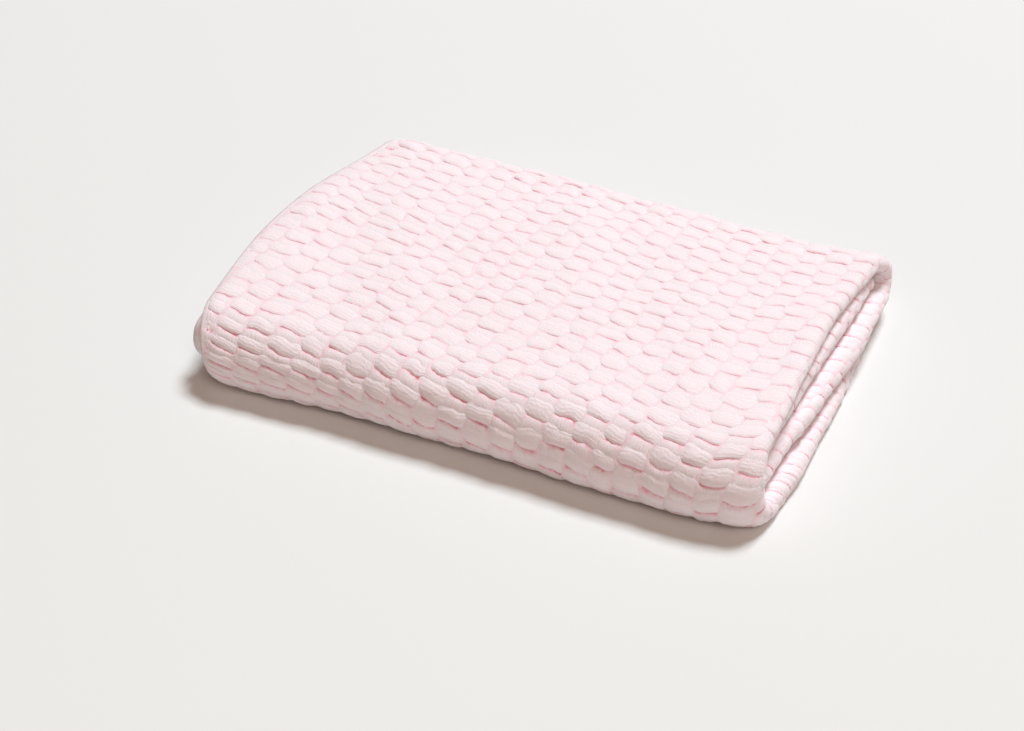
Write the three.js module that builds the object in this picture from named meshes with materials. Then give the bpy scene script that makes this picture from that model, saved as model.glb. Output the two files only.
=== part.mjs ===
import * as THREE from "three";

// A basket weave blanket folded into a soft stack, in millimetres with Z up.
// X runs along the stack to its folded end, Y from its front fold to its back fold.
// The origin lies on the floor under the middle of the stack.
//
// The cloth is doubled first, which makes the folded end at the right and leaves the
// hems at the left. The doubled cloth is then folded three times: it starts under the
// back, runs forward as the bottom layer, up round the front fold, back as the top
// layer, down round the back fold, forward as the second layer, and back once more
// inside as the third, which ends in the back fold.

// Driving sizes
const stack = { length: 382, width: 277 };
const ply = { thickness: 5.2, gap: 0.6 };
const hem = { width: 6, edgeShare: 0.55 };
const endBead = { extra: 0.8, blend: 24 };
const frontFold = { depth: 31, sag: 1.5 };
const backFold = { depth: 20, sag: 1 };
const innerFold = { behindFront: 1, sag: 1 };
const bottomEndFromBack = 9;
const thirdEndFromFold = 1;
const clothColor = 0xf2cfd2;

const half = ply.gap / 2 + ply.thickness;
const right = stack.length / 2;
const left = -right;
const back = stack.width / 2;
const front = -back;

// The layers of doubled cloth from the floor up, with the air under each along most of
// the stack and what it gains towards the folded end
const layers = [
  { name: "bottom", air: 0, airAtEnd: 0 },
  { name: "second", air: 0.8, airAtEnd: 2.2 },
  { name: "third", air: 0.8, airAtEnd: 2 },
  { name: "top", air: 0.8, airAtEnd: 1.4 },
];
const fan = { from: 105, to: 185 };

// How far the front and back lines of the stack lie inside its box, along its length
const sideLines = [
  { at: left, front: 2, back: 0 },
  { at: -150, front: 0, back: 0 },
  { at: -80, front: 4, back: 1 },
  { at: 20, front: 4, back: 3.5 },
  { at: 100, front: 2.5, back: 7.5 },
  { at: 150, front: 3, back: 8 },
  { at: right, front: 14, back: 6 },
];

// Height of the top of the stack across it, near the left end, the middle and the right end
const heights = [
  { at: front, left: 42, middle: 43, right: 44 },
  { at: -100, left: 45, middle: 46, right: 46 },
  { at: -50, left: 47.5, middle: 49, right: 47.5 },
  { at: 10, left: 48, middle: 50, right: 47 },
  { at: 75, left: 46, middle: 47.5, right: 45 },
  { at: 115, left: 44, middle: 43, right: 42 },
  { at: back, left: 43, middle: 41, right: 41 },
];
const heightStations = { left: -150, right: 160 };
const endDroop = { keeps: 0.95, reach: 24 };

// How far the cloth stops short of the ends of the box, at the folded end and at the hems
// of the outer and the inner ply, and how far the two plies stand apart. A place is
// counted along the cloth: 0 to 1 is the bottom layer, 1 to 2 the front fold, 2 to 3 the
// top layer, 3 to 4 the back fold, 4 to 5 the second layer, 5 to 6 the inner fold and
// 6 to 7 the third layer.
const ends = [
  { at: 0, folded: 7, outerHem: 30, innerHem: 24, apart: 0 },
  { at: 0.3, folded: 3.5, outerHem: 32, innerHem: 26, apart: 0 },
  { at: 0.6, folded: 0, outerHem: 34, innerHem: 28, apart: 0 },
  { at: 0.85, folded: 0, outerHem: 36, innerHem: 30, apart: 0 },
  { at: 1, folded: 2, outerHem: 38, innerHem: 33, apart: 0 },
  { at: 1.2, folded: 4, outerHem: 36, innerHem: 30, apart: 2.5 },
  { at: 1.5, folded: 7, outerHem: 28, innerHem: 15, apart: 5.5 },
  { at: 1.8, folded: 9, outerHem: 18, innerHem: 10, apart: 1.8 },
  { at: 2, folded: 12, outerHem: 12, innerHem: 11, apart: 0 },
  { at: 2.35, folded: 15, outerHem: 1, innerHem: 4, apart: 0 },
  { at: 2.65, folded: 16.5, outerHem: 1.5, innerHem: 5, apart: 0 },
  { at: 2.9, folded: 13, outerHem: 12, innerHem: 15, apart: 0 },
  { at: 3.15, folded: 9, outerHem: 18, innerHem: 20, apart: 0 },
  { at: 3.5, folded: 5.5, outerHem: 21, innerHem: 23, apart: 0 },
  { at: 4, folded: 2, outerHem: 18, innerHem: 21, apart: 0 },
  { at: 4.25, folded: 1, outerHem: 15, innerHem: 18, apart: 0 },
  { at: 4.5, folded: 4, outerHem: 13, innerHem: 16, apart: 0 },
  { at: 5, folded: 12, outerHem: 15, innerHem: 18, apart: 0 },
  { at: 6, folded: 15, outerHem: 18, innerHem: 20, apart: 0 },
  { at: 6.5, folded: 14, outerHem: 18, innerHem: 21, apart: 0 },
  { at: 7, folded: 11, outerHem: 20, innerHem: 23, apart: 0 },
];

// Number of facets along each stretch of the cloth, along a ply and round the folded end,
// and how much a ply's facets crowd towards its ends
const facets = [8, 10, 8, 8, 6, 6, 6];
const plyFacets = 12;
const endFacets = 6;
const crowding = 0.6;

function smooth(share) {
  const t = Math.min(Math.max(share, 0), 1);
  return t * t * (3 - 2 * t);
}

// Smooth reading of one column of a table whose rows are sorted by "at"
function column(rows, name) {
  const last = rows.length - 1;
  const slope = (i) => {
    const before = rows[Math.max(i - 1, 0)];
    const after = rows[Math.min(i + 1, last)];
    return (after[name] - before[name]) / (after.at - before.at);
  };
  return (where) => {
    const place = Math.min(Math.max(where, rows[0].at), rows[last].at);
    let i = 0;
    while (i < last - 1 && place > rows[i + 1].at) i += 1;
    const span = rows[i + 1].at - rows[i].at;
    const t = (place - rows[i].at) / span;
    const lift = span * t * (1 - t) * ((1 - t) * slope(i) - t * slope(i + 1));
    return rows[i][name] + smooth(t) * (rows[i + 1][name] - rows[i][name]) + lift;
  };
}

const frontInset = column(sideLines, "front");
const backInset = column(sideLines, "back");
const foldedInset = column(ends, "folded");
const hemInset = { outer: column(ends, "outerHem"), inner: column(ends, "innerHem") };
const standingApart = column(ends, "apart");
const heightNear = {
  left: column(heights, "left"),
  middle: column(heights, "middle"),
  right: column(heights, "right"),
};

// Middle height of a layer of doubled cloth before the stack settles
function layerHeight(name, x) {
  const fanned = smooth((x - fan.from) / (fan.to - fan.from));
  let height = -half;
  for (const layer of layers) {
    height += 2 * half + layer.air + fanned * layer.airAtEnd;
    if (layer.name === name) break;
  }
  return height;
}

// Share of its loose height that the stack keeps at one place of the plan
function settled(x, y) {
  const middle = heightNear.middle(y);
  const toLeft = smooth(x / heightStations.left) * (heightNear.left(y) - middle);
  const toRight = smooth(x / heightStations.right) * (heightNear.right(y) - middle);
  const droop = smooth(1 - (x - left) / endDroop.reach) * (1 - endDroop.keeps);
  const looseHeight = layerHeight("top", x) + half;
  return ((middle + toLeft + toRight) * (1 - droop)) / looseHeight;
}

// Middle of the doubled cloth in the section at x, and the direction its outer face looks
function middleLine(x, place) {
  const stretch = Math.min(Math.floor(place), facets.length - 1);
  const share = place - stretch;
  const frontTurn = front + frontInset(x) + frontFold.depth;
  const backTurn = back - backInset(x) - backFold.depth;
  const innerTurn = frontTurn + innerFold.behindFront;
  const innerReach = (layerHeight("second", x) - layerHeight("third", x)) / 2;

  const flat = (from, to, layer) => ({
    y: from + share * (to - from),
    z: layerHeight(layer, x),
    facingY: 0,
    facingZ: Math.sign(to - from),
  });

  // A half turn from one layer to another that bulges low when its sag is over 1
  const turn = (from, reach, fromLayer, toLayer, sag) => {
    const angle = Math.PI * share;
    const start = layerHeight(fromLayer, x);
    const rise = layerHeight(toLayer, x) - start;
    const climbed = (1 - Math.cos(angle)) / 2;
    const alongZ = (rise * sag * climbed ** (sag - 1) * Math.sin(angle)) / 2;
    const alongY = reach * Math.cos(angle);
    const size = Math.hypot(alongY, alongZ);
    return {
      y: from + reach * Math.sin(angle),
      z: start + rise * climbed ** sag,
      facingY: -alongZ / size,
      facingZ: alongY / size,
    };
  };

  switch (stretch) {
    case 0:
      return flat(back - backInset(x) - bottomEndFromBack, frontTurn, "bottom");
    case 1:
      return turn(frontTurn, half - frontFold.depth, "bottom", "top", frontFold.sag);
    case 2:
      return flat(frontTurn, backTurn, "top");
    case 3:
      return turn(backTurn, backFold.depth - half, "top", "second", backFold.sag);
    case 4:
      return flat(backTurn, innerTurn, "second");
    case 5:
      return turn(innerTurn, innerReach, "second", "third", innerFold.sag);
    default:
      return flat(innerTurn, backTurn - thirdEndFromFold, "third");
  }
}

// Places along the cloth with their distance from its nearer free end. The first and the
// last pair bound the hems there.
function placesAlong() {
  const end = facets.length;
  const stretchLength = (from, to) => Math.abs(middleLine(0, to).y - middleLine(0, from).y);
  const firstHem = hem.width / stretchLength(0, 1);
  const lastHem = end - hem.width / stretchLength(end - 1, end);
  const places = [{ at: 0, fromEnd: 0 }, { at: firstHem, fromEnd: hem.width }];
  facets.forEach((count, stretch) => {
    for (let i = 1; i <= count; i += 1) {
      places.push({ at: stretch + i / count, fromEnd: hem.width });
    }
  });
  places.splice(places.length - 1, 1);
  return [...places, { at: lastHem, fromEnd: hem.width }, { at: end, fromEnd: 0 }];
}

// Stations across the doubled cloth: the outer ply, round the folded end, the inner ply
function stationsAcross() {
  const shares = [];
  for (let i = 1; i <= plyFacets; i += 1) {
    const even = i / plyFacets;
    const eased = (1 - Math.cos(Math.PI * even)) / 2;
    shares.push(even + crowding * (eased - even));
  }
  const plyStations = (name) => [
    { ply: name, share: 0, pastHem: 0 },
    { ply: name, share: 0, pastHem: hem.width },
    ...shares.map((share) => ({ ply: name, share, pastHem: 0 })),
  ];
  const turn = [];
  for (let i = 1; i < endFacets; i += 1) turn.push({ turn: i / endFacets });
  return [...plyStations("outer"), ...turn, ...plyStations("inner").reverse()];
}

// Thickness of the cloth beside a free edge, thinner in the hem
function thicknessAt(fromEdge) {
  return ply.thickness * (hem.edgeShare + (1 - hem.edgeShare) * smooth(fromEdge / hem.width));
}

// One point of the cloth. Side is 1 on the face that shows and -1 on the other face.
function clothPoint(place, station, side) {
  const infront = place.at > 1 && place.at < 2;
  const apart = infront ? Math.max(standingApart(place.at), 0) : 0;
  const plyOffset = (ply.thickness + ply.gap) / 2;
  const beadRadius = plyOffset + endBead.extra + apart / 2;
  const turnX = right - foldedInset(place.at) - beadRadius - ply.thickness / 2;
  let x;
  let offset;
  if (station.ply) {
    const hemX = left + hemInset[station.ply](place.at);
    const fromHem = station.pastHem + station.share * (turnX - hemX);
    const swelling = smooth(1 - (turnX - hemX - fromHem) / endBead.blend) * endBead.extra;
    const thickness = Math.min(thicknessAt(fromHem), thicknessAt(place.fromEnd));
    x = hemX + fromHem;
    offset = plyOffset + swelling + (side * thickness) / 2;
    if (station.ply === "inner") offset = -offset - apart;
  } else {
    const angle = Math.PI * station.turn;
    const radius = beadRadius + (side * ply.thickness) / 2;
    x = turnX + radius * Math.sin(angle);
    offset = radius * Math.cos(angle) - apart / 2;
  }
  const middle = middleLine(x, place.at);
  const y = middle.y + middle.facingY * offset;
  const z = Math.max(middle.z + middle.facingZ * offset, 0);
  return [x, y, z * settled(x, y)];
}

// The cloth as one closed sheet: its two faces and the rim that joins them
function clothGeometry() {
  const places = placesAlong();
  const stations = stationsAcross();
  const lastRow = places.length - 1;
  const lastStation = stations.length - 1;
  const positions = [];
  for (const side of [1, -1]) {
    for (const place of places) {
      for (const station of stations) positions.push(...clothPoint(place, station, side));
    }
  }
  const shown = (row, station) => row * stations.length + station;
  const hidden = (row, station) => shown(row + places.length, station);
  const index = [];
  const quad = (a, b, c, d) => index.push(a, b, c, a, c, d);
  for (let r = 0; r < lastRow; r += 1) {
    for (let s = 0; s < lastStation; s += 1) {
      quad(shown(r, s), shown(r, s + 1), shown(r + 1, s + 1), shown(r + 1, s));
      quad(hidden(r, s), hidden(r + 1, s), hidden(r + 1, s + 1), hidden(r, s + 1));
    }
    quad(shown(r, 0), shown(r + 1, 0), hidden(r + 1, 0), hidden(r, 0));
    const s = lastStation;
    quad(shown(r, s), hidden(r, s), hidden(r + 1, s), shown(r + 1, s));
  }
  for (let s = 0; s < lastStation; s += 1) {
    quad(shown(0, s), hidden(0, s), hidden(0, s + 1), shown(0, s + 1));
    const r = lastRow;
    quad(shown(r, s), shown(r, s + 1), hidden(r, s + 1), hidden(r, s));
  }
  const geometry = new THREE.BufferGeometry();
  geometry.setAttribute("position", new THREE.Float32BufferAttribute(positions, 3));
  geometry.setIndex(index);
  geometry.computeVertexNormals();
  return geometry;
}

const blanket = new THREE.Mesh(
  clothGeometry(),
  new THREE.MeshStandardMaterial({ color: clothColor, roughness: 0.95, metalness: 0 }),
);
blanket.name = "blanket";

const model = new THREE.Group();
model.add(blanket);

export default model;
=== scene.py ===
import bisect
import math

import bpy
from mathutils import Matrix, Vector, noise


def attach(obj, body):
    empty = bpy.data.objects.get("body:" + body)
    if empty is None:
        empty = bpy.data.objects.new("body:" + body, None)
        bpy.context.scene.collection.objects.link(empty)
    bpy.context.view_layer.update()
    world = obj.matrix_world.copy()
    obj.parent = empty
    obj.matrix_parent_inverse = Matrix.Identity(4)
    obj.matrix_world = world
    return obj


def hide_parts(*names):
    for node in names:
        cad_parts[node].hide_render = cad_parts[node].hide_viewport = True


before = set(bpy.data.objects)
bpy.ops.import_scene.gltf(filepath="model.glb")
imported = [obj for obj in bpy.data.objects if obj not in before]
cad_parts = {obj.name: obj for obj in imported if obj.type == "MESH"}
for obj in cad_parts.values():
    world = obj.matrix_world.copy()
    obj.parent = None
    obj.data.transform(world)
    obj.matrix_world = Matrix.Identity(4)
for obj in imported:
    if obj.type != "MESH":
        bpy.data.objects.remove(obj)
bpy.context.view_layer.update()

# A folded basket weave blanket. The weave is laid out flat, with its columns across the
# cloth and its rows along it, and then folded with the cloth. Metres, Z up.

cameraView = {
    "azimuth": 25.2,  # degrees from the front, to the right
    "elevation": 35.4,
    "aim": (-0.0068, -0.035, 0.0),  # the point of the floor in the middle of the view
    "distance": 1.1445,
    "lens": 64.9,
    "sensor": 36.0,
    "clip": (0.05, 20),
}


def makeCamera():
    turn = math.radians(cameraView["azimuth"])
    rise = math.radians(cameraView["elevation"])
    back = Vector((math.sin(turn) * math.cos(rise), -math.cos(turn) * math.cos(rise), math.sin(rise)))
    data = bpy.data.cameras.new("camera")
    data.lens = cameraView["lens"]
    data.sensor_width = cameraView["sensor"]
    data.clip_start, data.clip_end = cameraView["clip"]
    camera = bpy.data.objects.new("camera", data)
    camera.location = Vector(cameraView["aim"]) + back * cameraView["distance"]
    camera.rotation_euler = (math.pi / 2 - rise, 0, turn)
    bpy.context.scene.collection.objects.link(camera)
    bpy.context.scene.camera = camera
    print("camera placed")


# the folded cloth, as in the solids
mm = 0.001

cloth = {
    "length": 382 * mm,
    "width": 277 * mm,
    "thickness": 5.2 * mm,
    "plyGap": 0.6 * mm,
    "hemWidth": 6 * mm,
    "hemEdgeShare": 0.55,
    "plainEdge": 1.5 * mm,  # no weave stands up this near a hem's edge
    "edgeFade": 4 * mm,  # from there to its full height
    "endFade": 2 * mm,
    "beadExtra": 0.8 * mm,
    "beadBlend": 24 * mm,
    "beadWeave": 17 * mm,  # how much of the weave goes round the folded end
    "frontDepth": 31 * mm,
    "frontSag": 1.5,
    "backDepth": 20 * mm,
    "innerBehindFront": 1 * mm,
    "bottomEndFromBack": 9 * mm,
    "thirdEndFromFold": 1 * mm,
    "droopKeeps": 0.95,
    "droopReach": 24 * mm,
    "fanFrom": 105 * mm,
    "fanTo": 185 * mm,
}

half = cloth["plyGap"] / 2 + cloth["thickness"]
rightEnd = cloth["length"] / 2
leftEnd = -rightEnd
backSide = cloth["width"] / 2
frontSide = -backSide

# air under each layer, and what it gains towards the folded end, in millimetres
layerAir = {"bottom": (0, 0), "second": (0.8, 2.2), "third": (0.8, 2), "top": (0.8, 1.4)}

# place along the stack; how far the front and back lines lie inside the box
sideRows = [
    (-191, 2, 0),
    (-150, 0, 0),
    (-80, 4, 1),
    (20, 4, 3.5),
    (100, 2.5, 7.5),
    (150, 3, 8),
    (191, 14, 6),
]

# place across the stack; height of its top near the left end, the middle and the right end
heightRows = [
    (-138.5, 42, 43, 44),
    (-100, 45, 46, 46),
    (-50, 47.5, 49, 47.5),
    (10, 48, 50, 47),
    (75, 46, 47.5, 45),
    (115, 44, 43, 42),
    (138.5, 43, 41, 41),
]
heightLeftAt = -150 * mm
heightRightAt = 160 * mm

# place along the cloth; how far it stops short at the folded end, at the hems of the outer
# and the inner ply, and how far the plies stand apart
endRows = [
    (0, 7, 30, 24, 0),
    (0.3, 3.5, 32, 26, 0),
    (0.6, 0, 34, 28, 0),
    (0.85, 0, 36, 30, 0),
    (1, 2, 38, 33, 0),
    (1.2, 4, 36, 30, 2.5),
    (1.5, 7, 28, 15, 5.5),
    (1.8, 9, 18, 10, 1.8),
    (2, 12, 12, 11, 0),
    (2.35, 15, 1, 4, 0),
    (2.65, 16.5, 1.5, 5, 0),
    (2.9, 13, 12, 15, 0),
    (3.15, 9, 18, 20, 0),
    (3.5, 5.5, 21, 23, 0),
    (4, 2, 18, 21, 0),
    (4.25, 1, 15, 18, 0),
    (4.5, 4, 13, 16, 0),
    (5, 12, 15, 18, 0),
    (6, 15, 18, 20, 0),
    (6.5, 14, 18, 21, 0),
    (7, 11, 20, 23, 0),
]
lastPlace = 7


def smooth(share):
    t = min(max(share, 0), 1)
    return t * t * (3 - 2 * t)


def reading(rows, column, unit=mm, placeUnit=mm):
    places = [row[0] * placeUnit for row in rows]
    values = [row[column] * unit for row in rows]
    last = len(rows) - 1
    slopes = []
    for i in range(last + 1):
        before, after = max(i - 1, 0), min(i + 1, last)
        slopes.append((values[after] - values[before]) / (places[after] - places[before]))

    def read(where):
        place = min(max(where, places[0]), places[last])
        i = min(max(bisect.bisect_left(places, place) - 1, 0), last - 1)
        span = places[i + 1] - places[i]
        t = (place - places[i]) / span
        lift = span * t * (1 - t) * ((1 - t) * slopes[i] - t * slopes[i + 1])
        return values[i] + t * t * (3 - 2 * t) * (values[i + 1] - values[i]) + lift

    return read


frontInset = reading(sideRows, 1)
backInset = reading(sideRows, 2)
heightLeft = reading(heightRows, 1)
heightMiddle = reading(heightRows, 2)
heightRight = reading(heightRows, 3)
foldedInset = reading(endRows, 1, mm, 1)
outerHem = reading(endRows, 2, mm, 1)
innerHem = reading(endRows, 3, mm, 1)
apartAt = reading(endRows, 4, mm, 1)


def layerHeight(name, x):
    fanned = smooth((x - cloth["fanFrom"]) / (cloth["fanTo"] - cloth["fanFrom"]))
    height = -half
    for layer, (air, airAtEnd) in layerAir.items():
        height += 2 * half + (air + fanned * airAtEnd) * mm
        if layer == name:
            break
    return height


def settled(x, y):
    middle = heightMiddle(y)
    toLeft = smooth(x / heightLeftAt) * (heightLeft(y) - middle)
    toRight = smooth(x / heightRightAt) * (heightRight(y) - middle)
    droop = smooth(1 - (x - leftEnd) / cloth["droopReach"]) * (1 - cloth["droopKeeps"])
    return (middle + toLeft + toRight) * (1 - droop) / (layerHeight("top", x) + half)


def flatStretch(share, start, end, height):
    return start + share * (end - start), height, 0, math.copysign(1, end - start)


def turnStretch(share, start, reach, low, high, sag):
    angle = math.pi * share
    climbed = (1 - math.cos(angle)) / 2
    alongZ = (high - low) * sag * climbed ** (sag - 1) * math.sin(angle) / 2
    alongY = reach * math.cos(angle)
    size = math.hypot(alongY, alongZ)
    y = start + reach * math.sin(angle)
    z = low + (high - low) * climbed ** sag
    return y, z, -alongZ / size, alongY / size


def middleLine(x, place):
    stretch = min(int(place), lastPlace - 1)
    share = place - stretch
    frontTurn = frontSide + frontInset(x) + cloth["frontDepth"]
    backTurn = backSide - backInset(x) - cloth["backDepth"]
    innerTurn = frontTurn + cloth["innerBehindFront"]
    bottom, second, third, top = (layerHeight(name, x) for name in layerAir)
    if stretch == 0:
        start = backSide - backInset(x) - cloth["bottomEndFromBack"]
        return flatStretch(share, start, frontTurn, bottom)
    if stretch == 1:
        return turnStretch(share, frontTurn, half - cloth["frontDepth"], bottom, top, cloth["frontSag"])
    if stretch == 2:
        return flatStretch(share, frontTurn, backTurn, top)
    if stretch == 3:
        return turnStretch(share, backTurn, cloth["backDepth"] - half, top, second, 1)
    if stretch == 4:
        return flatStretch(share, backTurn, innerTurn, second)
    if stretch == 5:
        return turnStretch(share, innerTurn, (second - third) / 2, second, third, 1)
    return flatStretch(share, innerTurn, backTurn - cloth["thirdEndFromFold"], third)


def plyEnds(place):
    apart = max(apartAt(place), 0) if 1 < place < 2 else 0
    offset = (cloth["thickness"] + cloth["plyGap"]) / 2
    radius = offset + cloth["beadExtra"] + apart / 2
    turnX = rightEnd - foldedInset(place) - radius - cloth["thickness"] / 2
    return turnX, leftEnd + outerHem(place), leftEnd + innerHem(place), apart, radius


def foldPoint(across, place, height):
    turnX, outerX, innerX, apart, radius = plyEnds(place)
    plyOffset = (cloth["thickness"] + cloth["plyGap"]) / 2
    past = across - turnX
    if 0 < past < cloth["beadWeave"]:
        angle = math.pi * past / cloth["beadWeave"]
        x = turnX + (radius + height) * math.sin(angle)
        offset = (radius + height) * math.cos(angle) - apart / 2
    else:
        x = across if past <= 0 else turnX - (past - cloth["beadWeave"])
        bead = smooth(1 - (turnX - x) / cloth["beadBlend"]) * cloth["beadExtra"]
        offset = plyOffset + bead + height
        if past > 0:
            offset = -offset - apart
    y, z, facingY, facingZ = middleLine(x, place)
    y = y + facingY * offset
    z = max(z + facingZ * offset, 0)
    return x, y, z * settled(x, y)


# how the weave lies on the cloth
weave = {
    "columnPitch": 16.2 * mm,
    "rowPitch": 15.3 * mm,
    "plainRowPitch": 16.2 * mm,  # of the rows under the stack
    "recess": 1.2 * mm,  # of the deepest of the ground between the floats, below the solid's face
    "ground": 0.75 * mm,  # height of the ground above that
    "crown": 0.95 * mm,  # of each block of the ground
    "floatCentre": 0.29,  # of a row, behind its crease
}

# number of a row of the weave; its distance from the foot of the front fold, and how much
# further along the cloth it lies at the far left, left, right and far right
driftRows = [
    (-12, 1, 32, 17, -13, -28),
    (-10, 19, 32, 17, -13, -28),
    (-8, 40.5, 32, 17, -13, -28),
    (-6, 73, 32, 17, -13, -27),
    (-3, 121, 36, 14, -12, -26),
    (0, 167, 39, 14, -9, -16),
    (3, 210, 37, 14, -9, -9),
    (6, 255, 28, 13, -10, -8),
    (9, 302, 20, 10, -12, -10),
    (14, 378, 10, 5, -6, -8),
]
driftAt = (-178, -85, -3, 77, 154)

# number of a row of the weave; how far its middle column has leaned
leanRows = [(-12, -17), (-9, -17), (-6, -15), (-3, -7), (0, -3), (3, -3), (6, 0), (9, 0)]

# number of a column of the weave; its distance from the middle column
columnRows = [(-13, -228), (-10, -174), (-5, -82), (0, 0), (5, 79.5), (10, 156), (20, 310), (40, 620)]

leanOf = reading(leanRows, 1, mm, 1)
columnPlace = reading(columnRows, 1, mm, 1)
columnNumber = reading([(row[1], row[0]) for row in columnRows], 1, 1, mm)


def outerFace(place):
    return Vector(foldPoint(0, place, cloth["thickness"] / 2))


def measurePlaces(steps=1400):
    places = [lastPlace * i / steps for i in range(steps + 1)]
    lengths = [0.0]
    before = outerFace(0)
    for place in places[1:]:
        now = outerFace(place)
        lengths.append(lengths[-1] + (now - before).length)
        before = now
    foot = lengths[steps // lastPlace]
    return places, [length - foot for length in lengths]


placeList, alongList = measurePlaces()
firstRow = driftRows[0][0] - (driftRows[0][1] * mm - alongList[0]) / weave["plainRowPitch"]
lastRow = driftRows[-1][0] + (alongList[-1] - driftRows[-1][1] * mm) / weave["rowPitch"]
startRow = (firstRow, alongList[0] / mm, 0, 0, 0, 0)
endRow = (lastRow, alongList[-1] / mm, 0, 0, 0, 0)
allDriftRows = [startRow] + driftRows + [endRow]
rowAlong = reading(allDriftRows, 1, mm, 1)
rowDrifts = [reading(allDriftRows, column, mm, 1) for column in (2, 3, 4, 5)]
clothAlong = alongList[-1] - alongList[0]
print("cloth", round(clothAlong, 3), "m along, rows", round(firstRow, 2), "to", round(lastRow, 2))


def placeAt(along):
    i = min(max(bisect.bisect_left(alongList, along), 1), len(alongList) - 1)
    share = (along - alongList[i - 1]) / (alongList[i] - alongList[i - 1])
    return min(max(placeList[i - 1] + share * (placeList[i] - placeList[i - 1]), 0), lastPlace)


driftMemo = {}


def placeOf(row, across):
    key = round(row, 4)
    if key not in driftMemo:
        farLeft, left, right, farRight = (drift(row) for drift in rowDrifts)
        values = (farLeft, left, 0, right, farRight)
        driftMemo[key] = (rowAlong(row), reading(list(zip(driftAt, values)), 1, 1, mm))
    along, drift = driftMemo[key]
    return placeAt(along + drift(across))


# the weave wanders: sizes in columns and rows of the weave, waves per column or row
wanders = [
    {"size": 0.11, "waves": 0.36, "seed": 3.7},
    {"size": 0.12, "waves": 1.3, "seed": 11.3},
    {"size": 0.06, "waves": 3.0, "seed": 23.9},
]
wanderSeed = 1795637242  # without a seed, Blender's vector noise starts from the clock
noise.seed_set(wanderSeed)


def wander(column, row):
    total = Vector((0, 0, 0))
    for one in wanders:
        where = Vector((column, row, 0)) * one["waves"] + Vector((0, 0, one["seed"]))
        total += noise.noise_vector(where) * one["size"]
    return total.x, total.y


# how far the blocks stand up, and how strong their painted crease shade is: fully round the folds, less on
# top
reliefAndCreaseShade = {
    "onTop": 0.42,  # of the painted crease shade, kept fainter on top so the top reads lighter
    "raisedOnTop": 0.46,  # of the weave's relief
    "raisedOnBead": 0.62,  # and round the folded end
    "topFrom": 2,  # places along the cloth
    "topTo": 3,
    "blend": 34 * mm,
    "beforeTop": 0.6,  # of the blend, in front of the top
    "beadFrom": 10 * mm,  # before the cloth turns
    "beadBlend": 14 * mm,
    "beadFade": 10 * mm,
    "uneven": 0.8,
    "unevenWaves": 0.9,  # per column
    "seed": 5.5,
}


def alongOf(place):
    where = min(max(place / lastPlace, 0), 1) * (len(placeList) - 1)
    low = min(int(where), len(placeList) - 2)
    return alongList[low] + (where - low) * (alongList[low + 1] - alongList[low])


def onTop(place):
    along = alongOf(place)
    blend = reliefAndCreaseShade["blend"]
    afterFront = along - alongOf(reliefAndCreaseShade["topFrom"]) + blend * reliefAndCreaseShade["beforeTop"]
    beforeBack = alongOf(reliefAndCreaseShade["topTo"]) - along
    return smooth(afterFront / blend) * smooth(beforeBack / blend)


# strength of the painted crease shade at a point: fainter on top, uneven at random
def creaseShadeShare(column, row, place):
    waves = reliefAndCreaseShade["unevenWaves"]
    uneven = 1 + reliefAndCreaseShade["uneven"] * noise.noise(Vector((column * waves, row * waves, reliefAndCreaseShade["seed"])))
    return min((1 - (1 - reliefAndCreaseShade["onTop"]) * onTop(place)) * uneven, 1)


def raisedShare(past, place):
    top = 1 - (1 - reliefAndCreaseShade["raisedOnTop"]) * onTop(place)
    bead = smooth((past + reliefAndCreaseShade["beadFrom"]) / reliefAndCreaseShade["beadBlend"])
    bead *= 1 - smooth((past - cloth["beadWeave"]) / reliefAndCreaseShade["beadFade"])
    return min(top, 1 - (1 - reliefAndCreaseShade["raisedOnBead"]) * bead)


# where a block's crease and crown lie: shares of a row behind its crease, or of a column from its middle
blockForm = {
    "creaseFrom": 0.86,
    "creaseDeep": 0.10,
    "creaseUntil": 0.16,
    "creaseRise": 0.14,
    "creaseEnd": 0.38,
    "creaseEndFade": 0.12,
    "crownFrom": 0.46,
    "crownLong": 0.5,
    "roundness": 0.7,
}


def blockRelief(column, row):
    number = round(column)
    aside = abs(column - number)
    cell = (row + 0.5 * (number % 2)) % 1
    form = blockForm
    deepening = smooth((cell - form["creaseFrom"]) / form["creaseDeep"])
    rising = smooth((cell - form["creaseUntil"]) / form["creaseRise"])
    crease = (deepening + 1 - rising) * (1 - smooth((aside - form["creaseEnd"]) / form["creaseEndFade"]))
    along = min(max((cell - form["crownFrom"]) / form["crownLong"], 0), 1)
    block = math.sin(math.pi * along) * math.cos(math.pi * aside)
    return weave["ground"] * (1 - crease) + weave["crown"] * block ** form["roundness"]


# the cloth isn't quite even: small lumps, and soft swellings as waves across and along it
lumps = {"height": 0.28 * mm, "waves": 75, "seed": 1.5}  # waves per metre
swellings = [
    # height in millimetres, waves per metre across, waves per metre along, start
    (0.35, 9, 4, 0.3),
    (0.30, -5, 11, 1.9),
    (0.25, 14, 7, 4.0),
    (0.20, 19, -13, 2.2),
]


def swelling(across, along):
    waves = lumps["waves"]
    total = lumps["height"] * noise.noise(Vector((across * waves, along * waves, lumps["seed"])))
    for height, wavesAcross, wavesAlong, start in swellings:
        total += height * mm * math.sin(math.tau * (wavesAcross * across + wavesAlong * along) + start)
    return total


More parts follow.
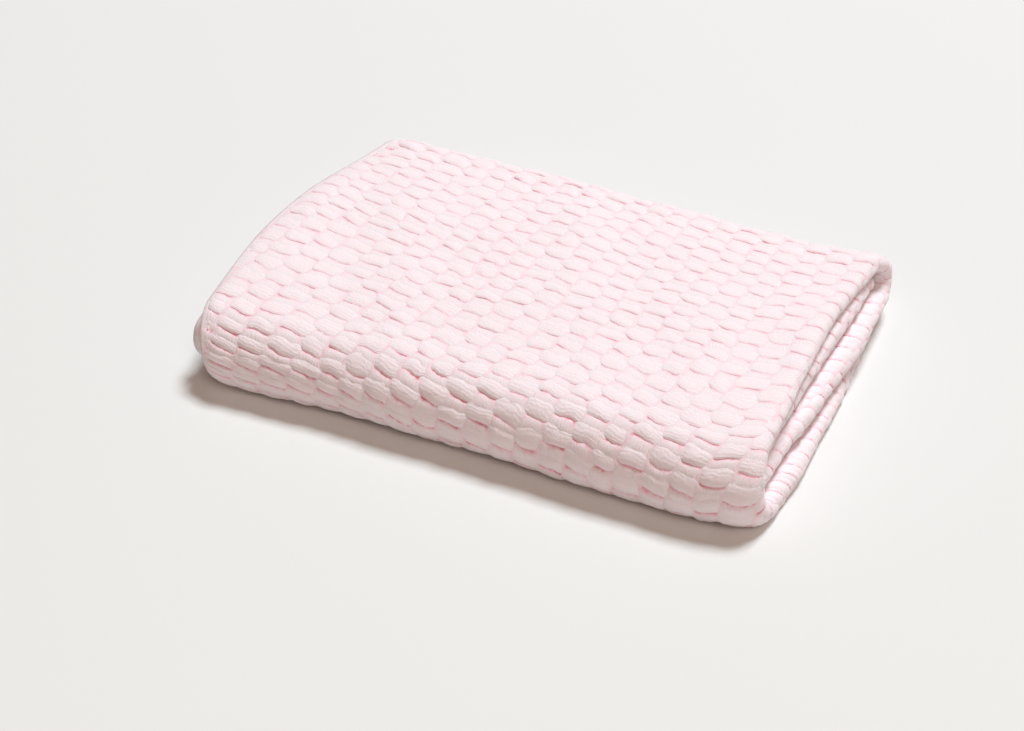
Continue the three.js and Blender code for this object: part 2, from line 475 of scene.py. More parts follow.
# one socket of a material: sums on it add their Math nodes
class Link:
    def __init__(self, paint, socket):
        self.paint = paint
        self.socket = socket

    def maths(self, operation, *others):
        return self.paint.node("ShaderNodeMath", {"operation": operation}, dict(enumerate((self, *others))))

    def __add__(self, other):
        return self.maths("ADD", other)

    def __radd__(self, other):
        return self.maths("ADD", other)

    def __sub__(self, other):
        return self.maths("SUBTRACT", other)

    def __rsub__(self, other):
        return self.paint.node("ShaderNodeMath", {"operation": "SUBTRACT"}, {0: other, 1: self})

    def __mul__(self, other):
        return self.maths("MULTIPLY", other)

    def __rmul__(self, other):
        return self.maths("MULTIPLY", other)

    def __mod__(self, other):
        return self.maths("FLOORED_MODULO", other)

    def __abs__(self):
        return self.maths("ABSOLUTE")


# one material, with a method for any node
class Paint:
    def __init__(self, name):
        self.material = bpy.data.materials.new(name)
        self.material.use_nodes = True
        self.tree = self.material.node_tree
        self.shader = self.tree.nodes["Principled BSDF"]

    def node(self, kind, settings=None, values=None, output=0):
        made = self.tree.nodes.new(kind)
        for name, value in (settings or {}).items():
            setattr(made, name, value)
        for name, value in (values or {}).items():
            self.feed(made.inputs[name], value)
        return Link(self, made.outputs[output])

    def feed(self, socket, value):
        if isinstance(value, Link):
            self.tree.links.new(value.socket, socket)
        else:
            socket.default_value = value

    def mix(self, share, first, second):
        values = {"Factor": share, 6: first, 7: second}
        return self.node("ShaderNodeMix", {"data_type": "RGBA"}, values, output=2)

    def set(self, **values):
        for name, value in values.items():
            self.feed(self.shader.inputs[name.replace("_", " ")], value)

    def smoothBand(self, value, low, high):
        values = {"Value": value, "From Min": low, "From Max": high}
        return self.node("ShaderNodeMapRange", {"interpolation_type": "SMOOTHSTEP"}, values)

    def noise(self, where, scale):
        settings = {"noise_dimensions": "2D"}
        return self.node("ShaderNodeTexNoise", settings, {"Vector": where, "Scale": scale, "Detail": 2.0})

    def uv(self, name):
        return self.node("ShaderNodeUVMap", {"uv_map": name})

    def point(self, name):
        return self.node("ShaderNodeAttribute", {"attribute_name": name}, output=2)

    def parts(self, vector):
        separate = self.node("ShaderNodeSeparateXYZ", {}, {0: vector}).socket.node
        return tuple(Link(self, socket) for socket in separate.outputs)


# colours, and where they change: shares of a row behind its crease, or of a column from its middle. The flank
# and groove colours are painted shade: pinker flanks and block ends, deep pink creases
cotton = {
    "crest": (0.93, 0.84, 0.875, 1),
    "flankPaintedShade": (0.94, 0.705, 0.775, 1),
    "groovePaintedShade": (0.82, 0.33, 0.40, 1),
    "stitch": (0.95, 0.83, 0.85, 1),
    "stitchRoughness": 0.8,
    "faintWaves": 1.7,  # per column, of the places where the painted flank shade hardly shows
    "faintBand": (0.42, 0.62),
    "faintShare": 0.6,
    "raggedWaves": 5.0,  # per column, of the painted flank shade's uneven edge
    "endShade": 0.6,
    "bumpStrength": 0.5,
    "bumpDistance": 0.5 * mm,
}

cottonFinish = {
    "Sheen Weight": 0.25,
    "Sheen Roughness": 0.5,
    "Specular IOR Level": 0.2,
    "Subsurface Weight": 0.15,
    "Subsurface Radius": (1.0, 0.45, 0.4),
    "Subsurface Scale": 1 * mm,
}

groundPaint = {
    "ragged": 0.16,  # of a row
    "grooveShadeFrom": (0.88, 0.96),
    "grooveShadeUntil": (0.06, 0.24),
    "grooveShadeEnds": (0.38, 0.50),
    "shadeFrom": (0.74, 0.92),
    "shadeEnds": (0.30, 0.50),
    "yarns": 50,  # radians per column
    "yarnWander": (5.0, 5),  # waves per column, radians
    "yarnHeight": 0.5,  # of the bump's distance
    "fuzz": [(22.0, 0.8)],  # waves per column, height
    "roughness": 0.95,
}

floatPaint = {
    "ragged": 0.3,  # of the way over it
    "grooveShadeUntil": (0.10, 0.29),  # of the way over it, from its front
    "grooveShadeEnds": (0.30, 0.45),  # of its length, from its middle
    "shadeUntil": (0.10, 0.42),
    "shadeEnds": (0.30, 0.50),
    "yarns": 46,  # radians over it
    "yarnWander": (2.2, 9),
    "yarnHeight": 0.35,
    "fuzz": [(8.0, 1.1), (24.0, 0.6)],
    "roughness": 0.92,
}


def faintPlaces(paint, weaveMap):
    places = paint.noise(weaveMap, cotton["faintWaves"])
    return paint.smoothBand(places, *cotton["faintBand"]) * cotton["faintShare"]


def raggedEdge(paint, weaveMap, size):
    return (paint.noise(weaveMap, cotton["raggedWaves"]) - 0.5) * size


# yarns side by side: rounds over them, in radians, and how far a slow noise moves them
def yarnWaves(paint, weaveMap, place, rounds, wandering):
    waves, size = wandering
    return (place * rounds + paint.noise(weaveMap, waves) * size).maths("SINE") * 0.5 + 0.5


def yarnBump(paint, height):
    values = {"Strength": cotton["bumpStrength"], "Distance": cotton["bumpDistance"], "Height": height}
    return paint.node("ShaderNodeBump", {}, values)


# the lit crest colour mixed with painted shade: the flank colour on flanks and ends, the groove colour in the
# creases
def paintedShadeColour(paint, crest, grooveShade):
    return paint.mix(grooveShade, paint.mix(crest, cotton["flankPaintedShade"], cotton["crest"]), cotton["groovePaintedShade"])


def cottonGround():
    look = groundPaint
    paint = Paint("cottonGround")
    weaveMap = paint.uv("weave")
    column, row, _ = paint.parts(weaveMap)
    number = (column + 0.5).maths("FLOOR")
    aside = abs(column - number)
    cell = (row + (number % 2) * 0.5) % 1
    ragged = raggedEdge(paint, weaveMap, look["ragged"])
    # painted crease shade: the groove colour where the crease deepens under the next float, scaled by the
    # point's painted shade attribute
    grooveShade = paint.smoothBand(cell + ragged, *look["grooveShadeFrom"]) + 1 - paint.smoothBand(cell, *look["grooveShadeUntil"])
    grooveShade = grooveShade.maths("MINIMUM", 1.0) * (1 - paint.smoothBand(aside, *look["grooveShadeEnds"])) * paint.point("open")
    # painted flank shade: the flank colour before the crease and towards the block's ends
    crest = 1 - paint.smoothBand(cell + ragged, *look["shadeFrom"])
    crest = crest * (1 - paint.smoothBand(aside, *look["shadeEnds"]) * cotton["endShade"])
    crest = crest.maths("MAXIMUM", faintPlaces(paint, weaveMap))
    height = yarnWaves(paint, weaveMap, column, look["yarns"], look["yarnWander"]) * look["yarnHeight"]
    for waves, size in look["fuzz"]:
        height = height + paint.noise(weaveMap, waves) * size
    colour = paintedShadeColour(paint, crest, grooveShade)
    paint.set(Base_Color=colour, Normal=yarnBump(paint, height), Roughness=look["roughness"])
    return paint


def cottonFloat():
    look = floatPaint
    paint = Paint("cottonFloat")
    weaveMap = paint.uv("weave")
    along, over, _ = paint.parts(paint.uv("float"))
    aside = abs(along - 0.5)
    ragged = raggedEdge(paint, weaveMap, look["ragged"])
    # painted crease shade: the groove colour along the float's front, scaled by the point's painted shade
    # attribute
    grooveShade = (1 - paint.smoothBand(over, *look["grooveShadeUntil"])) * (1 - paint.smoothBand(aside, *look["grooveShadeEnds"]))
    grooveShade = grooveShade * paint.point("open")
    # painted flank shade: the flank colour on the float's front and towards its ends
    crest = paint.smoothBand(over + ragged, *look["shadeUntil"])
    crest = crest * (1 - paint.smoothBand(aside + ragged, *look["shadeEnds"]) * cotton["endShade"])
    crest = crest.maths("MAXIMUM", faintPlaces(paint, weaveMap))
    height = yarnWaves(paint, weaveMap, over, look["yarns"], look["yarnWander"]) * look["yarnHeight"]
    for waves, size in look["fuzz"]:
        height = height + paint.noise(weaveMap, waves) * size
    colour = paintedShadeColour(paint, crest, grooveShade)
    paint.set(Base_Color=colour, Normal=yarnBump(paint, height), Roughness=look["roughness"])
    return paint


def cottonStitch():
    paint = Paint("cottonStitch")
    paint.set(Base_Color=cotton["stitch"], Roughness=cotton["stitchRoughness"])
    return paint


def finishCotton(paint):
    for name, value in cottonFinish.items():
        paint.shader.inputs[name].default_value = value
    return paint.material


groundMaterial = finishCotton(cottonGround())
floatMaterial = finishCotton(cottonFloat())
stitchMaterial = finishCotton(cottonStitch())
print("materials made")


# the woven ground: one closed sheet, folded
sheetMesh = {
    "outerStep": 2.7 * mm,  # spacing of the points across the cloth where it shows
    "span": cloth["length"] - 18 * mm,  # about what they cross
    "coarseSteps": 26,
    "innerSteps": 10,
    "turnSteps": 8,
    "coarseTurnSteps": 4,
    "hemSteps": (0, 0.3, 0.7),  # of the hem's width
    "endReach": 26 * mm,  # fine points on the inner ply reach this far from its ends
    "rowsShown": (0.0, 0.12, 0.25, 0.35, 0.43),  # rows of points in each half row of the weave
    "rowsHidden": (0.0, 0.25),
    "rowsUnder": (0.1,),
    "shownFrom": -12,  # rows of the weave
    "shownTo": 12,
    "creaseFrom": 3 * mm,  # from a hem's edge, to where the painted crease shade starts
    "creaseFade": 9 * mm,
    "stripOrder": 0.98,  # of each part of a section, when its free end is closed
}


def hemThickness(fromEdge):
    share = cloth["hemEdgeShare"]
    return cloth["thickness"] * (share + (1 - share) * smooth(fromEdge / cloth["hemWidth"]))


def fromEnds(place):
    along = alongList[min(int(place / lastPlace * (len(placeList) - 1)), len(placeList) - 1)]
    return min(abs(along - alongList[0]), abs(along - alongList[-1]))


def columnOf(across, row):
    place = across - leanOf(row)
    number = columnNumber(place)
    for _ in range(2):
        number += (place - columnPlace(number)) / weave["columnPitch"]
    return number


def sheetPoint(station, row):
    kind, share, past, side = station
    place = placeOf(row, 0)
    for _ in range(3):
        turnX, outerX, innerX = plyEnds(place)[:3]
        plyEndsAt = turnX + cloth["beadWeave"]
        if kind == "outer":
            across = outerX + past + share * (turnX - outerX)
        elif kind == "turn":
            across = turnX + share * cloth["beadWeave"]
        else:
            across = plyEndsAt + turnX - innerX - past - share * (turnX - innerX)
        place = placeOf(row, across)
    fromHem = 1.0
    if kind == "outer":
        fromHem = across - outerX
    elif kind == "inner":
        fromHem = plyEndsAt + turnX - innerX - across
    fromEnd = fromEnds(place)
    thickness = min(hemThickness(fromHem), hemThickness(fromEnd))
    height = side * thickness / 2
    column = columnOf(across, row)
    woven = smooth((fromHem - cloth["plainEdge"]) / cloth["edgeFade"])
    woven *= smooth((fromEnd - cloth["hemWidth"]) / cloth["endFade"])
    aside, ahead = wander(column, row)
    where = (column + aside, row + ahead)
    if side > 0:
        along = row * weave["rowPitch"]
        raised = raisedShare(across - turnX, place)
        height += woven * ((blockRelief(*where) - weave["recess"]) * raised + swelling(across, along))
    # the painted crease shade fades in away from the hem
    nearHem = smooth((fromHem - sheetMesh["creaseFrom"]) / sheetMesh["creaseFade"])
    return foldPoint(across, place, height), where, woven * nearHem * creaseShadeShare(column, row, place)


# the points round a section: part of the cloth, share of the way, distance past the hem's edge
def sectionStations():
    span = sheetMesh["span"]
    hem = cloth["hemWidth"]
    edge = [share * hem for share in sheetMesh["hemSteps"]]
    fine = round(span / sheetMesh["outerStep"])
    outer = [("outer", 0, past) for past in edge]
    outer += [("outer", i / fine, hem * (1 - i / fine)) for i in range(fine + 1)]
    turn = [("turn", i / sheetMesh["turnSteps"], 0) for i in range(1, sheetMesh["turnSteps"])]
    reach = sheetMesh["endReach"] / span
    few = round(sheetMesh["endReach"] / sheetMesh["outerStep"])
    between = sheetMesh["innerSteps"]
    shares = [i / few * reach for i in range(few)]
    shares += [reach + (1 - 2 * reach) * i / between for i in range(between)]
    shares += [1 - reach + i / few * reach for i in range(few + 1)]
    inner = [("inner", 0, past) for past in edge]
    inner += [("inner", share, hem * (1 - share)) for share in shares]
    shown = outer + turn + inner[::-1]
    steps = sheetMesh["coarseSteps"]
    around = sheetMesh["coarseTurnSteps"]
    coarse = [("outer", 0, 0), ("outer", 0, hem)]
    coarse += [("outer", i / steps, hem * (1 - i / steps)) for i in range(1, steps + 1)]
    coarse += [("turn", i / around, 0) for i in range(1, around)]
    coarse += [("inner", i / steps, hem * (1 - i / steps)) for i in range(steps, 0, -1)]
    coarse += [("inner", 0, hem), ("inner", 0, 0)]
    return [(*s, 1) for s in shown], [(*s, -1) for s in coarse]


def sheetRows():
    rows = []
    halfRow = math.ceil(2 * firstRow)
    while halfRow / 2 < lastRow:
        row = halfRow / 2
        if row < sheetMesh["shownFrom"]:
            steps = sheetMesh["rowsUnder"]
        elif row < sheetMesh["shownTo"]:
            steps = sheetMesh["rowsShown"]
        else:
            steps = sheetMesh["rowsHidden"]
        rows += [row + step for step in steps]
        halfRow += 1
    hem = cloth["hemWidth"]
    for share in (*sheetMesh["hemSteps"], 1):
        rows.append(firstRow + hem * share / weave["plainRowPitch"])
        rows.append(lastRow - hem * share / weave["rowPitch"])
    return sorted(set(round(row, 4) for row in rows if firstRow <= row <= lastRow))


def stationOrder(station):
    kind, share, past, _ = station
    reach = sheetMesh["stripOrder"]
    if kind == "outer":
        return share * reach + past
    if kind == "turn":
        return 1 + share * reach
    return 2 + (1 - share) * reach - past


# each free end is closed by strips from the fine side to the coarse one
def endStrips(shown, coarse, base, flip):
    count = len(shown) + len(coarse)
    faces = []
    a, b = 0, 0
    lastShown, lastCoarse = len(shown) - 1, len(coarse) - 1
    while a < lastShown or b < lastCoarse:
        other = base + count - 1 - b
        stepShown = b == lastCoarse
        if not stepShown and a < lastShown:
            stepShown = stationOrder(shown[a + 1]) <= stationOrder(coarse[b + 1])
        if stepShown:
            face = (base + a, base + a + 1, other)
            a += 1
        else:
            face = (base + a, other - 1, other)
            b += 1
        faces.append(face if flip else face[::-1])
    return faces


def addMap(mesh, name, coordinates):
    values = []
    for corner in mesh.loops:
        values.extend(coordinates[corner.vertex_index])
    mesh.uv_layers.new(name=name).data.foreach_set("uv", values)


def smoothShaded(mesh):
    mesh.polygons.foreach_set("use_smooth", [True] * len(mesh.polygons))


def makeSheet():
    shown, coarse = sectionStations()
    rows = sheetRows()
    points, coordinates, creaseShadeShares = [], [], []
    loop = shown + coarse[::-1]
    for row in rows:
        for station in loop:
            point, where, shows = sheetPoint(station, row)
            points.append(point)
            coordinates.append(where)
            creaseShadeShares.append(shows)
    count = len(loop)
    faces = []
    for r in range(len(rows) - 1):
        for s in range(count):
            t = (s + 1) % count
            faces.append((r * count + s, r * count + t, (r + 1) * count + t, (r + 1) * count + s))
    faces += endStrips(shown, coarse, 0, False)
    faces += endStrips(shown, coarse, (len(rows) - 1) * count, True)
    mesh = bpy.data.meshes.new("wovenCloth")
    mesh.from_pydata(points, [], faces)
    addMap(mesh, "weave", coordinates)
    # the painted crease shade's strength at each point
    mesh.attributes.new("open", "FLOAT", "POINT").data.foreach_set("value", creaseShadeShares)
    smoothShaded(mesh)
    mesh.materials.append(groundMaterial)
    mesh.validate()
    mesh.update()
    sheet = bpy.data.objects.new("wovenCloth", mesh)
    bpy.context.scene.collection.objects.link(sheet)
    print("woven cloth:", len(rows), "rows of", count, "points,", len(mesh.polygons), "faces")
    return sheet


# the floats: puffy bundles of yarn, instanced flat and then folded with the cloth
floats = {
    "lengthShare": 1.34,  # of a column's pitch
    "widthShare": 0.68,  # of a row's pitch
    "height": 2.0 * mm,  # of its crown above the sunk ground
    "lumps": 0.5,  # of its height, uneven along and across it
    "lumpWaves": 3.2,  # per column
    "lumpSeed": 8.8,
    "sunk": 0.3 * mm,  # how far the ends dive below it
    "dive": 2.8,  # how late they dive
    "narrowing": 0.3,  # of its ends
    "narrowsLate": 4,
    "facetsLong": 10,
    "columns": (-13, 40),
    "fromHem": 5 * mm,  # no float has its middle nearer to a hem's edge
    "fromSeam": 3 * mm,  # or to the seam at the cloth's ends
    "allUntil": 4.05,  # place along the cloth after which only those near its edges show
    "tucked": 0.2 * mm,  # what passes a hem lies this much lower
    # the painted crease shade on the floats fades in from the weave's edge over these
    "creaseFrom": 2 * mm,
    "creaseFade": 4 * mm,
    "turn": 0.15,  # radians, at random either way
    "spread": 0.17,  # of its size, at random either way
    "shift": 0.5 * mm,  # at random, towards any side
    "seed": 7,
}

# across a float from its front to its back, in its width; height, in its crown's height
floatProfile = [
    (-0.55, -0.10),
    (-0.54, 0.20),
    (-0.46, 0.55),
    (-0.30, 0.86),
    (-0.06, 1.0),
    (0.20, 0.92),
    (0.44, 0.64),
    (0.64, 0.24),
]


def floatShape():
    long, over = floats["facetsLong"], len(floatProfile) - 1
    length = floats["lengthShare"] * weave["columnPitch"] / 2
    width = floats["widthShare"] * weave["rowPitch"]
    points, coordinates, faces = [], [], []
    for i in range(long + 1):
        a = 0.5 * (2 * i / long - 1) - 0.5 * math.cos(math.pi * i / long)
        dive = abs(a) ** floats["dive"]
        narrow = 1 - floats["narrowing"] * abs(a) ** floats["narrowsLate"]
        for j, (y, z) in enumerate(floatProfile):
            rise = z * floats["height"] * (1 - dive) if z > 0 else z * floats["height"]
            points.append((a * length, y * width * narrow, rise - dive * floats["sunk"]))
            coordinates.append((i / long, j / over))
    for i in range(long):
        for j in range(over):
            p = i * (over + 1) + j
            faces.append((p, p + over + 1, p + over + 2, p + 1))
    mesh = bpy.data.meshes.new("floatShape")
    mesh.from_pydata(points, [], faces)
    addMap(mesh, "float", coordinates)
    smoothShaded(mesh)
    return bpy.data.objects.new("floatShape", mesh)


def floatShows(column, row):
    across = columnPlace(column) + leanOf(row)
    place = placeOf(row, across)
    turnX, outerX, innerX = plyEnds(place)[:3]
    innerStart = turnX + cloth["beadWeave"]
    innerEnd = innerStart + turnX - innerX
    reach = sheetMesh["endReach"]
    if not outerX + floats["fromHem"] < across < innerEnd - floats["fromHem"]:
        return False
    if fromEnds(place) < cloth["hemWidth"] + floats["fromSeam"]:
        return False
    if across > innerStart:
        return across < innerStart + reach or across > innerEnd - reach
    if place < floats["allUntil"]:
        return True
    return across > turnX - reach or across < outerX + reach


def floatPlaces():
    places = []
    for number in range(*floats["columns"]):
        offset = 0.5 * (number % 2)
        row = math.ceil(firstRow) - offset
        while row < lastRow:
            centre = row + weave["floatCentre"]
            if floatShows(number, centre):
                places.append((number * weave["columnPitch"], centre * weave["rowPitch"], 0))
            row += 1
    return places


# a tree of Geometry Nodes, with one named input for each value
def instanceTree(name, values):
    kinds = {float: "Float", int: "Int", bpy.types.Object: "Object", bpy.types.Material: "Material"}
    tree = bpy.data.node_groups.new(name, "GeometryNodeTree")
    tree.interface.new_socket("Geometry", in_out="INPUT", socket_type="NodeSocketGeometry")
    sockets = {}
    for label, value in values.items():
        kind = "NodeSocket" + kinds[type(value)]
        sockets[label] = tree.interface.new_socket(label, in_out="INPUT", socket_type=kind).identifier
    tree.interface.new_socket("Geometry", in_out="OUTPUT", socket_type="NodeSocketGeometry")
    return tree, sockets


def addNode(tree, kind, values=None, **settings):
    made = tree.nodes.new(kind)
    for name, value in settings.items():
        setattr(made, name, value)
    for name, value in (values or {}).items():
        if isinstance(value, bpy.types.NodeSocket):
            tree.links.new(value, made.inputs[name])
        else:
            made.inputs[name].default_value = value
    return made


def mathsNode(tree, operation, first, second):
    return addNode(tree, "ShaderNodeMath", {0: first, 1: second}, operation=operation).outputs[0]


def vectorNode(tree, **parts):
    return addNode(tree, "ShaderNodeCombineXYZ", parts).outputs[0]


def randomNode(tree, low, high, seed):
    values = {2: low, 3: high, "Seed": seed}
    return addNode(tree, "FunctionNodeRandomValue", values, data_type="FLOAT").outputs[1]


def randomVector(tree, low, high, seed):
    values = {0: low, 1: high, "Seed": seed}
    return addNode(tree, "FunctionNodeRandomValue", values, data_type="FLOAT_VECTOR").outputs[0]


# the shape on every point, made real, with its material
def endTree(tree, start, points, **placing):
    shape = addNode(tree, "GeometryNodeObjectInfo", {"Object": start["Shape"]}).outputs["Geometry"]
    values = {"Points": points, "Instance": shape, **placing}
    instances = addNode(tree, "GeometryNodeInstanceOnPoints", values).outputs[0]
    solid = addNode(tree, "GeometryNodeRealizeInstances", {"Geometry": instances}).outputs[0]
    values = {"Geometry": solid, "Material": start["Material"]}
    dressed = addNode(tree, "GeometryNodeSetMaterial", values).outputs[0]
    addNode(tree, "NodeGroupOutput", {0: dressed})


def floatTree(inputs):
    tree, sockets = instanceTree("floatsOnPlaces", inputs)
    start = addNode(tree, "NodeGroupInput").outputs
    shift, turn, spread, seed = (start[name] for name in ("Shift", "Turn", "Spread", "Seed"))
    shiftBack = mathsNode(tree, "MULTIPLY", shift, -1.0)
    shiftLow = vectorNode(tree, X=shiftBack, Y=shiftBack)
    shifted = randomVector(tree, shiftLow, vectorNode(tree, X=shift, Y=shift), seed)
    values = {"Geometry": start["Geometry"], "Offset": shifted}
    places = addNode(tree, "GeometryNodeSetPosition", values).outputs[0]
    turned = randomNode(tree, mathsNode(tree, "MULTIPLY", turn, -1.0), turn, seed)
    small = mathsNode(tree, "SUBTRACT", 1.0, spread)
    large = mathsNode(tree, "ADD", 1.0, spread)
    smallest = vectorNode(tree, X=small, Y=small, Z=small)
    largest = vectorNode(tree, X=large, Y=large, Z=large)
    sized = randomVector(tree, smallest, largest, seed)
    endTree(tree, start, places, Rotation=vectorNode(tree, Z=turned), Scale=sized)
    return tree, sockets


# the tree's instances on a mesh, as one plain mesh
def grown(name, mesh, makeTree, values):
    link = bpy.context.scene.collection.objects.link
    base = bpy.data.objects.new(mesh.name, mesh)
    link(base)
    link(values["Shape"])
    modifier = base.modifiers.new(name, "NODES")
    tree, sockets = makeTree(values)
    modifier.node_group = tree
    for label, value in values.items():
        modifier[sockets[label]] = value
    bpy.context.view_layer.update()
    graph = bpy.context.evaluated_depsgraph_get()
    made = bpy.data.meshes.new_from_object(base.evaluated_get(graph))
    made.name = name
    base.modifiers.remove(modifier)
    bpy.data.objects.remove(base)
    bpy.data.objects.remove(values["Shape"])
    piece = bpy.data.objects.new(name, made)
    link(piece)
    return piece


# a point of the flat weave, folded with the cloth
def foldFlat(point):
    column, row = point.x / weave["columnPitch"], point.y / weave["rowPitch"]
    aside, ahead = wander(column, row)
    aside, ahead = wander(column - aside, row - ahead)
    column, row = column - aside, min(max(row - ahead, firstRow), lastRow)
    across = columnPlace(column) + leanOf(row)
    place = placeOf(row, across)
    turnX, outerX, innerX = plyEnds(place)[:3]
    lift = point.z
    innerEdge = turnX + cloth["beadWeave"] + turnX - innerX
    outerLimit = outerX + cloth["plainEdge"]
    innerLimit = innerEdge - cloth["plainEdge"]
    if not outerLimit <= across <= innerLimit:
        lift = min(lift, 0) - floats["tucked"]
        across = min(max(across, outerLimit), innerLimit)
    waves = floats["lumpWaves"]
    uneven = noise.noise(Vector((column * waves, row * waves, floats["lumpSeed"])))
    lift *= 1 + floats["lumps"] * uneven
    raised = raisedShare(across - turnX, place)
    height = hemThickness(min(across - outerX, innerEdge - across)) / 2
    height += (lift - weave["recess"]) * raised + swelling(across, row * weave["rowPitch"])
    # the painted crease shade's strength, fading in away from the weave's edges
    shows = creaseShadeShare(column, row, place)
    for fromLimit in (across - outerLimit, innerLimit - across):
        shows *= smooth((fromLimit - floats["creaseFrom"]) / floats["creaseFade"])
    return foldPoint(across, place, height), shows


def makeFloats():
    places = bpy.data.meshes.new("floatPlaces")
    places.from_pydata(floatPlaces(), [], [])
    count = len(places.vertices)
    values = {
        "Shape": floatShape(),
        "Material": floatMaterial,
        "Turn": floats["turn"],
        "Spread": floats["spread"],
        "Shift": floats["shift"],
        "Seed": floats["seed"],
    }
    piece = grown("wovenFloats", places, floatTree, values)
    mesh = piece.data
    pitches = weave["columnPitch"], weave["rowPitch"]
    addMap(mesh, "weave", [(v.co.x / pitches[0], v.co.y / pitches[1]) for v in mesh.vertices])
    creaseShadeShares = []
    for vertex in mesh.vertices:
        vertex.co, shows = foldFlat(vertex.co)
        creaseShadeShares.append(shows)
    mesh.attributes.new("open", "FLOAT", "POINT").data.foreach_set("value", creaseShadeShares)
    mesh.update()
    print("floats:", count, "with", len(mesh.polygons), "faces")
    return piece


# the hem's stitches, instanced along its seam
stitches = {
    "pitch": 3.6 * mm,
    "length": 2.7 * mm,
    "radius": 0.45 * mm,
    "around": 6,
    "sunk": 0.75 * mm,  # below the cloth's face
    "turn": 0.12,  # radians, at random either way
    "seed": 3,
    "placeStep": 0.02,  # between the points of the side seams, along the cloth
    "endPoints": 240,  # steps of the seams at the cloth's ends
}

# along a stitch, in its length; its radius there
stitchProfile = [(-0.5, 0.25), (-0.32, 0.9), (0.32, 0.9), (0.5, 0.25)]


def stitchShape():
    points, faces = [], []
    around = stitches["around"]
    for along, wide in stitchProfile:
        for i in range(around):
            angle = math.tau * i / around
            radius = stitches["radius"] * wide
            points.append((along * stitches["length"], radius * math.cos(angle), radius * math.sin(angle)))
    for ring in range(len(stitchProfile) - 1):
        for i in range(around):
            a, b = ring * around + i, ring * around + (i + 1) % around
            faces.append((a, a + around, b + around, b))
    faces.append(tuple(range(around)))
    faces.append(tuple(range(len(points) - 1, len(points) - 1 - around, -1)))
    mesh = bpy.data.meshes.new("stitchShape")
    mesh.from_pydata(points, [], faces)
    smoothShaded(mesh)
    return bpy.data.objects.new("stitchShape", mesh)


# the hem's seam: along the outer and the inner ply's hem, and across both ends of the cloth
def seamLines():
    hem = cloth["hemWidth"]
    height = cloth["thickness"] / 2 - stitches["sunk"]

    def seamEnds(place):
        turnX, outerX, innerX = plyEnds(place)[:3]
        return outerX + hem, turnX + cloth["beadWeave"] + turnX - innerX - hem

    sideSeams = [], []
    place = stitches["placeStep"]
    while place < lastPlace - stitches["placeStep"]:
        for seam, across in zip(sideSeams, seamEnds(place)):
            seam.append(foldPoint(across, place, height))
        place += stitches["placeStep"]
    lines = list(sideSeams)
    count = stitches["endPoints"]
    for row in (firstRow + hem / weave["plainRowPitch"], lastRow - hem / weave["rowPitch"]):
        start, end = seamEnds(placeOf(row, 0))
        across = [start + (end - start) * i / count for i in range(count + 1)]
        lines.append([foldPoint(x, placeOf(row, x), height) for x in across])
    return lines


def stitchTree(inputs):
    tree, sockets = instanceTree("stitchesOnSeam", inputs)
    start = addNode(tree, "NodeGroupInput").outputs
    line = addNode(tree, "GeometryNodeMeshToCurve", {0: start["Geometry"]}).outputs[0]
    values = {"Curve": line, "Length": start["Pitch"]}
    spaced = addNode(tree, "GeometryNodeResampleCurve", values, mode="LENGTH").outputs[0]
    tangent = addNode(tree, "GeometryNodeInputTangent").outputs[0]
    facing = addNode(tree, "FunctionNodeAlignRotationToVector", {"Vector": tangent}, axis="X").outputs[0]
    turned = randomNode(tree, mathsNode(tree, "MULTIPLY", start["Turn"], -1.0), start["Turn"], start["Seed"])
    values = {0: facing, 1: vectorNode(tree, Z=turned)}
    rotation = addNode(tree, "FunctionNodeRotateRotation", values, rotation_space="LOCAL").outputs[0]
    endTree(tree, start, spaced, Rotation=rotation)
    return tree, sockets


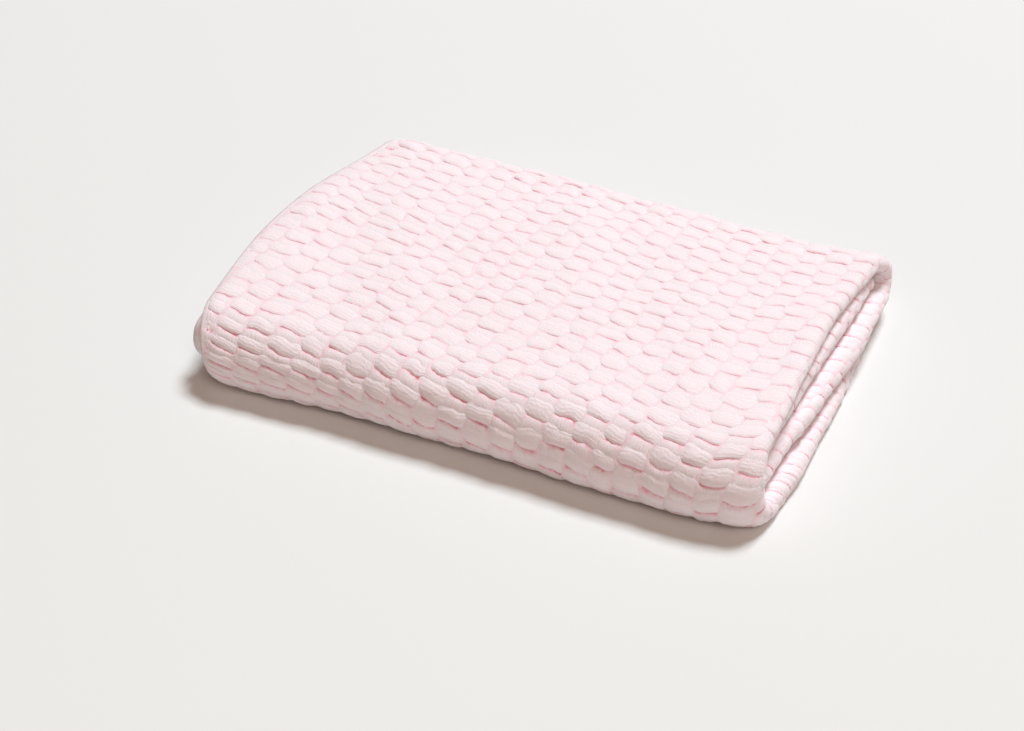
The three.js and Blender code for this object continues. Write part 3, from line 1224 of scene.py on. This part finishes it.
def makeStitches():
    points, edges = [], []
    for line in seamLines():
        first = len(points)
        points += line
        edges += [(i, i + 1) for i in range(first, len(points) - 1)]
    seams = bpy.data.meshes.new("seamLines")
    seams.from_pydata(points, edges, [])
    values = {
        "Shape": stitchShape(),
        "Material": stitchMaterial,
        "Pitch": stitches["pitch"],
        "Turn": stitches["turn"],
        "Seed": stitches["seed"],
    }
    piece = grown("hemStitches", seams, stitchTree, values)
    print("stitches:", len(piece.data.polygons), "faces")
    return piece


sheet = makeSheet()
floatPiece = makeFloats()
stitchPiece = makeStitches()


# floor and light
stage = {
    "floorSize": 40.0,
    "floorColour": (0.780, 0.804, 0.795, 1),
    "floorRoughness": 0.9,
    "worldColour": (1.0, 0.57, 0.35, 1),
    "worldStrength": 0.165,
}

softboxes = {
    "key": {"power": 780.0, "size": 2.6, "from": (0.65, 4.2, 8.2), "colour": (0.94, 1.0, 1.05)},
    "fill": {"power": 76.0, "size": 2.5, "from": (2.2, -2.8, 4.0), "colour": (1.0, 0.85, 0.76)},
}


def makeSoftbox(name, values):
    light = bpy.data.lights.new(name, "AREA")
    light.energy = values["power"]
    light.size = values["size"]
    light.color = values["colour"]
    lamp = bpy.data.objects.new(name, light)
    lamp.location = values["from"]
    lamp.rotation_euler = Vector(values["from"]).to_track_quat("Z", "Y").to_euler()
    bpy.context.scene.collection.objects.link(lamp)


def makeStage():
    side = stage["floorSize"] / 2
    corners = [(-side, -side, 0), (side, -side, 0), (side, side, 0), (-side, side, 0)]
    mesh = bpy.data.meshes.new("floor")
    mesh.from_pydata(corners, [], [(0, 1, 2, 3)])
    paint = Paint("floorPaint")
    paint.set(Base_Color=stage["floorColour"], Roughness=stage["floorRoughness"])
    mesh.materials.append(paint.material)
    floor = bpy.data.objects.new("floor", mesh)
    bpy.context.scene.collection.objects.link(floor)
    for name, values in softboxes.items():
        makeSoftbox(name, values)
    world = bpy.data.worlds.new("studio")
    world.use_nodes = True
    background = world.node_tree.nodes["Background"]
    background.inputs["Color"].default_value = stage["worldColour"]
    background.inputs["Strength"].default_value = stage["worldStrength"]
    bpy.context.scene.world = world
    bpy.context.scene.view_settings.view_transform = "Standard"
    print("floor and light placed")


makeCamera()
makeStage()

for piece in (sheet, floatPiece, stitchPiece):
    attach(piece, "root")
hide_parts("blanket")
